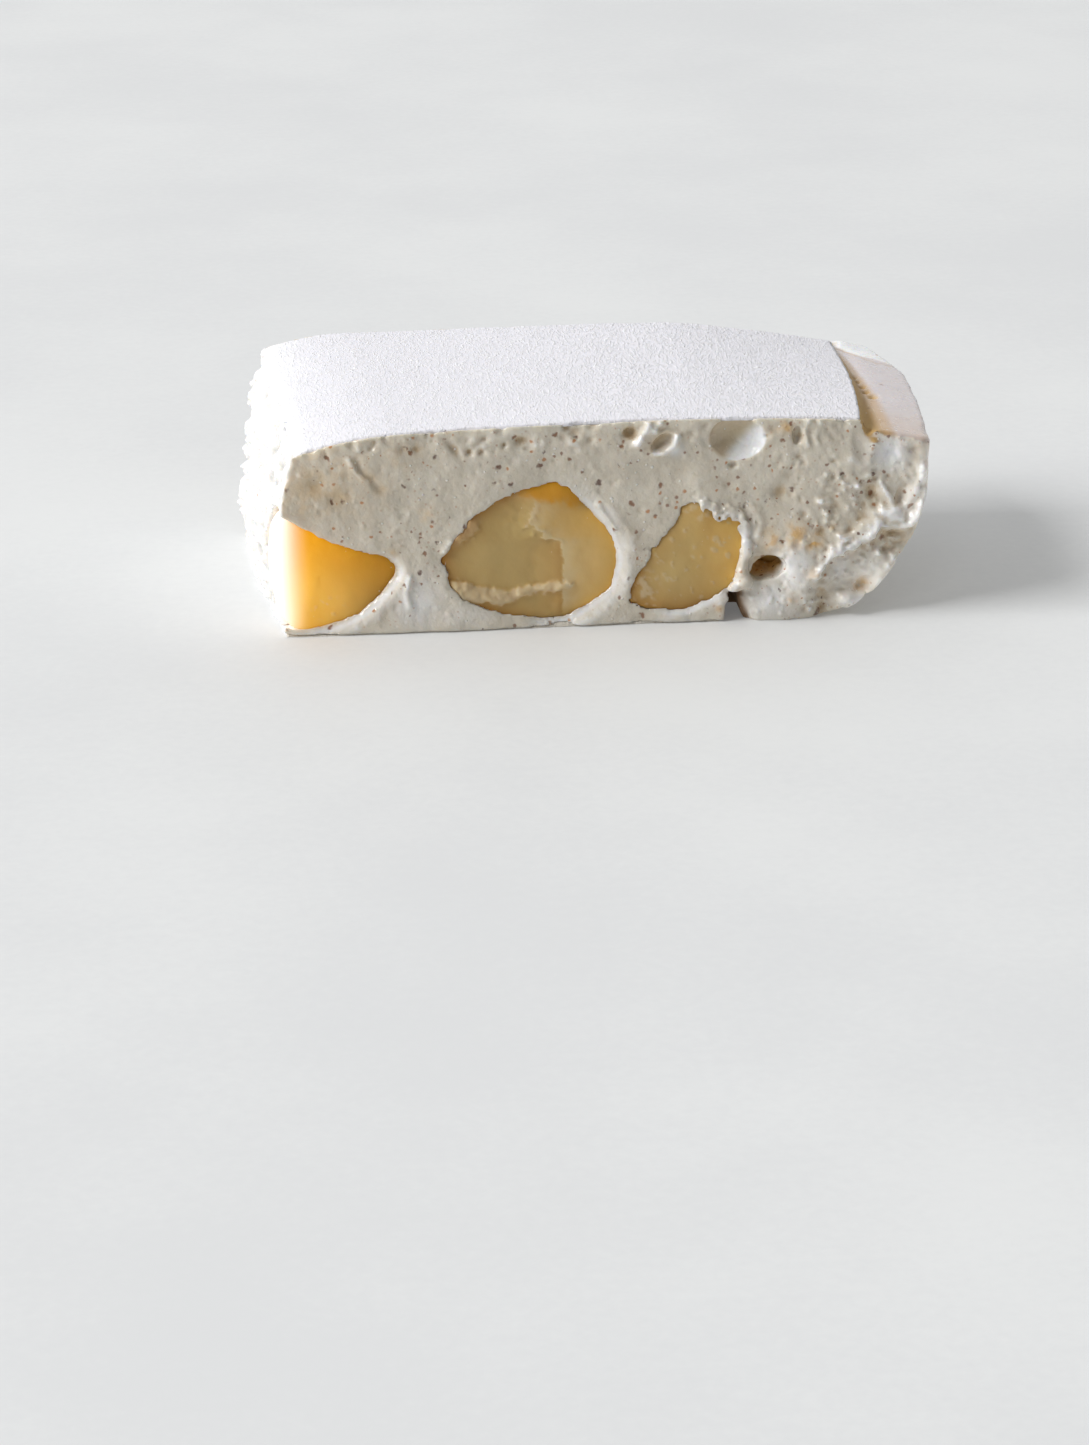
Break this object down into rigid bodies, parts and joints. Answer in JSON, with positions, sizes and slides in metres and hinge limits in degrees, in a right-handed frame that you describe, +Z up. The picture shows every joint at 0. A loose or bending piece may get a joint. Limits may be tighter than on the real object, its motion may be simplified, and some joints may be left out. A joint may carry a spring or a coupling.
{
  "type": "nougat piece",
  "caption": "Oblong piece of white nougat between sheets of rice paper, with macadamia nuts and air bubbles opened by its cut faces.",
  "frame": {"origin": "centre of the bounding box's base, on the surface the piece rests on", "axes": "+X along the piece towards its rounded end, +Y from the shown cut face to the far cut face, +Z up"},
  "size_m": [0.07, 0.0332, 0.0225],
  "materials": {
    "nougat": "soft whipped egg-white nougat, cream white, slightly translucent, with a low sheen and fine vanilla specks",
    "rice_paper": "dry white rice paper with a fine fibrous grain",
    "nut": "cut macadamia kernel, cream to golden, waxy and translucent, browner towards its skin"
  },
  "bodies": {
    "root": {"nougat": "nougat", "paper_top": "rice_paper", "paper_bottom": "rice_paper", "nut_left": "nut", "nut_middle": "nut", "nut_right": "nut", "nut_deep": "nut", "nut_back_left": "nut", "nut_back_right": "nut"}
  },
  "joints": []
}
